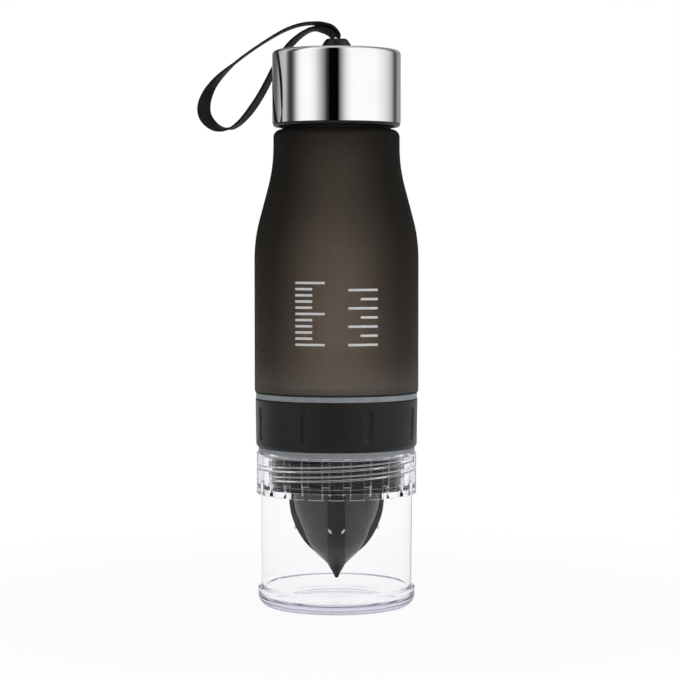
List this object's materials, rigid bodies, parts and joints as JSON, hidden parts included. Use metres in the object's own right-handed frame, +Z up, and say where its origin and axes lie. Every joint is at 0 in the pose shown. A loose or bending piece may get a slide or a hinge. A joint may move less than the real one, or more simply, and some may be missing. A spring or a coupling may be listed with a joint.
{
  "type": "fruit infuser water bottle",
  "caption": "Slim water bottle with a frosted body, a screw-on steel cap with a wrist strap, and a clear fruit cup below with a ribbed citrus reamer on a threaded collar.",
  "frame": {"origin": "centre of the fruit cup's foot, on the surface that the bottle stands on", "axes": "+Z up along the bottle's axis, -Y towards the front, +X to the right seen from the front"},
  "size_m": [0.0986, 0.0734, 0.2626],
  "materials": {
    "clear_plastic": "clear",
    "grey_silicone": "matte",
    "white_silicone": "matte",
    "black_plastic": "satin",
    "dark_plastic": "gloss",
    "frosted_plastic": "frosted",
    "polished_steel": "polished",
    "steel": "plain",
    "black_webbing": "woven"
  },
  "bodies": {
    "cup": {"fruit_cup": "clear_plastic"},
    "cup_seal": {"cup_seal": "grey_silicone"},
    "juicer": {"juicer_collar": "black_plastic", "reamer": "dark_plastic"},
    "bottle_seal": {"bottle_seal": "grey_silicone"},
    "bottle": {"bottle_body": "frosted_plastic"},
    "cap_gasket": {"cap_gasket": "white_silicone"},
    "cap": {"cap_shell": "polished_steel", "cap_liner": "black_plastic"},
    "knob": {"strap_knob": "black_plastic", "strap_pin": "steel", "knob_rivet": "steel", "knob_washer": "steel"},
    "strap": {"strap": "black_webbing"}
  },
  "joints": [
    {"name": "juicer_rise", "type": "slide", "parent": "cup", "child": "cup_seal", "axis": [0, 0, 1], "range_m": [0, 0.01261]},
    {"name": "juicer_turn", "type": "hinge", "parent": "cup_seal", "child": "juicer", "pos_m": [0, 0, 0.0714], "axis": [0, 0, 1], "range_deg": [0, 540]},
    {"name": "bottle_rise", "type": "slide", "parent": "juicer", "child": "bottle_seal", "axis": [0, 0, 1], "range_m": [0, 0.01261]},
    {"name": "bottle_turn", "type": "hinge", "parent": "bottle_seal", "child": "bottle", "pos_m": [0, 0, 0.0957], "axis": [0, 0, 1], "range_deg": [0, 540]},
    {"name": "cap_rise", "type": "slide", "parent": "bottle", "child": "cap_gasket", "axis": [0, 0, 1], "range_m": [0, 0.01051]},
    {"name": "cap_turn", "type": "hinge", "parent": "cap_gasket", "child": "cap", "pos_m": [0, 0, 0.242], "axis": [0, 0, 1], "range_deg": [0, 900]},
    {"name": "knob_swivel", "type": "hinge", "parent": "cap", "child": "knob", "pos_m": [0, 0, 0.2481], "axis": [0, 0, 1], "continuous": true},
    {"name": "strap_swing", "type": "hinge", "parent": "knob", "child": "strap", "pos_m": [0, 0, 0.25155], "axis": [0, 1, 0], "range_deg": [0, 90]}
  ],
  "couplings": [
    {"joint": "juicer_rise", "follows": "juicer_turn", "m_per_rad": 0.0013369},
    {"joint": "bottle_rise", "follows": "bottle_turn", "m_per_rad": 0.0013369},
    {"joint": "cap_rise", "follows": "cap_turn", "m_per_rad": 0.00066845}
  ]
}
